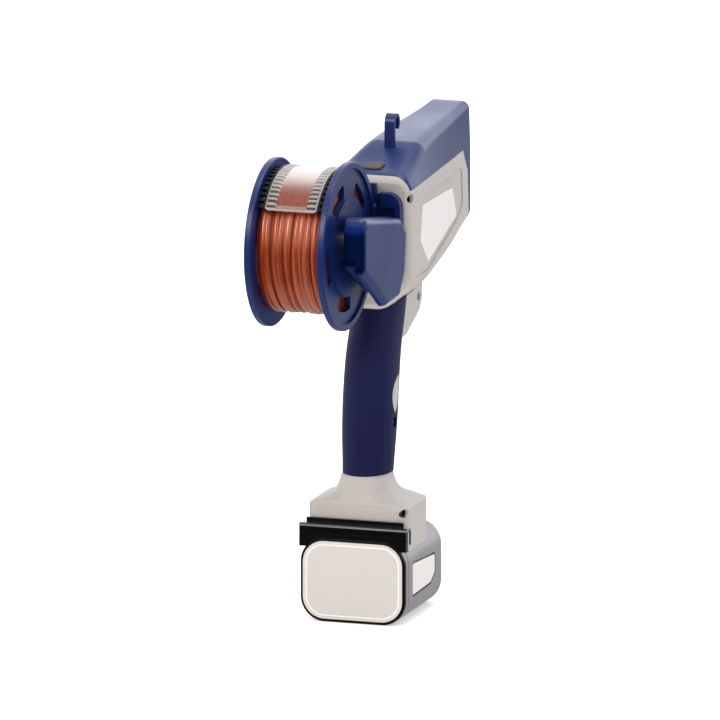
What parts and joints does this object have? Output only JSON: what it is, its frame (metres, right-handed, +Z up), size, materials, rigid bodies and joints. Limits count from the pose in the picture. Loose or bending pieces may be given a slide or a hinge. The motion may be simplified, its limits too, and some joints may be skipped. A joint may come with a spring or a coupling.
{
  "type": "electric vine tying tool",
  "caption": "Cordless pistol-grip tool that feeds ribbon from a rear spool and twists it round vine shoots at a front jaw, standing on its slide-on battery.",
  "frame": {"origin": "middle of the battery's flat underside", "axes": "+X to the operator's right, +Y forward to the tying jaw, +Z up"},
  "size_m": [0.0947, 0.3377, 0.3351],
  "materials": {
    "grey_shell": "fine satin moulding",
    "blue_cover": "smooth satin gloss moulding",
    "blue_grip": "matt soft-touch rubber",
    "black_plastic": "fine matt moulding",
    "battery_grey": "satin moulding",
    "label_grey": "bare satin plate",
    "plate_white": "bare satin plate",
    "button_rubber": "matt",
    "ribbon": "glossy copper-brown",
    "clear_sheet": "clear",
    "steel": "machined",
    "aluminium": "machined",
    "motor_can": "plated",
    "cell_can": "shrink sleeve",
    "board_green": "solder resist",
    "brass": "plated"
  },
  "bodies": {
    "tool": {"left_housing": "grey_shell", "right_housing": "grey_shell", "top_cover": "blue_cover", "grip_sleeve": "blue_grip", "housing_screws": "steel", "side_plate": "plate_white", "hanging_hook": "blue_cover", "spool_axle": "steel", "spool_arm": "blue_cover", "arm_cover": "blue_cover", "arm_screws": "steel", "brake_pin": "steel", "base_contacts": "black_plastic", "trigger_pin": "steel", "trigger_switch": "black_plastic", "button_switch": "black_plastic", "control_board": "board_green", "motor": "motor_can", "gearbox": "steel", "shaft_bearings": "steel", "bearing_carriers": "aluminium", "roller_pins": "steel", "roller_brackets": "aluminium", "ribbon_guide": "aluminium", "nose_frame": "aluminium", "fixed_jaw": "steel", "hook_pin": "steel"},
    "spool": {"spool_flange_left": "blue_cover", "spool_flange_right": "blue_cover", "spool_core": "blue_cover", "ribbon_pack": "ribbon", "ribbon_winding": "ribbon", "retainer_sheet": "clear_sheet", "retainer_combs": "black_plastic"},
    "knob": {"spool_knob": "black_plastic"},
    "brake": {"brake_lever": "blue_cover"},
    "battery": {"battery_case": "battery_grey", "battery_end": "black_plastic", "battery_label": "label_grey", "battery_side_plate": "plate_white", "battery_rail": "black_plastic", "battery_contacts": "brass", "battery_cells": "cell_can", "battery_board": "board_green", "latch_pin": "steel"},
    "latch": {"battery_latch": "black_plastic"},
    "trigger_lever": {"trigger": "black_plastic"},
    "button": {"power_button": "button_rubber"},
    "pinion": {"motor_pinion": "steel"},
    "twist": {"drive_wheel": "steel", "twist_shaft": "steel", "twister": "steel"},
    "feed": {"feed_roller": "steel"},
    "idler": {"idler_roller": "steel"},
    "hook_arm": {"tying_hook": "steel"}
  },
  "joints": [
    {"name": "spool_spin", "type": "hinge", "parent": "tool", "child": "spool", "pos_m": [0, -0.076, 0.268], "axis": [1, 0, 0], "continuous": true},
    {"name": "knob_turn", "type": "hinge", "parent": "tool", "child": "knob", "pos_m": [-0.052, -0.076, 0.268], "axis": [1, 0, 0], "continuous": true},
    {"name": "brake_swing", "type": "hinge", "parent": "tool", "child": "brake", "pos_m": [0.0074, -0.0154, 0.268], "axis": [1, 0, 0], "range_deg": [-4, 0], "stiffness_Nm_per_rad": 0.1},
    {"name": "battery_slide", "type": "slide", "parent": "tool", "child": "battery", "axis": [0, -1, 0], "range_m": [0, 0.085]},
    {"name": "latch_swing", "type": "hinge", "parent": "battery", "child": "latch", "pos_m": [0, -0.0376, 0.0616], "axis": [1, 0, 0], "range_deg": [0, 15], "stiffness_Nm_per_rad": 0.05},
    {"name": "trigger_pull", "type": "hinge", "parent": "tool", "child": "trigger_lever", "pos_m": [0, 0.045, 0.204], "axis": [1, 0, 0], "range_deg": [-10, 0], "stiffness_Nm_per_rad": 0.3},
    {"name": "button_press", "type": "slide", "parent": "tool", "child": "button", "axis": [0, 0.1564, -0.9877], "range_m": [0, 0.0012], "stiffness_N_per_m": 800},
    {"name": "twist_spin", "type": "hinge", "parent": "tool", "child": "twist", "pos_m": [0, 0.13, 0.264], "axis": [0, 1, 0], "continuous": true},
    {"name": "pinion_spin", "type": "hinge", "parent": "tool", "child": "pinion", "pos_m": [0, 0.089, 0.242], "axis": [0, 1, 0], "continuous": true},
    {"name": "feed_spin", "type": "hinge", "parent": "tool", "child": "feed", "pos_m": [0, 0.128, 0.2778], "axis": [1, 0, 0], "continuous": true},
    {"name": "idler_spin", "type": "hinge", "parent": "tool", "child": "idler", "pos_m": [0, 0.128, 0.2942], "axis": [1, 0, 0], "continuous": true},
    {"name": "hook_close", "type": "hinge", "parent": "tool", "child": "hook_arm", "pos_m": [0, 0.176, 0.295], "axis": [1, 0, 0], "range_deg": [-58, 0]}
  ],
  "couplings": [
    {"joint": "pinion_spin", "follows": "twist_spin", "ratio": -2.6667},
    {"joint": "idler_spin", "follows": "feed_spin", "ratio": -1}
  ]
}
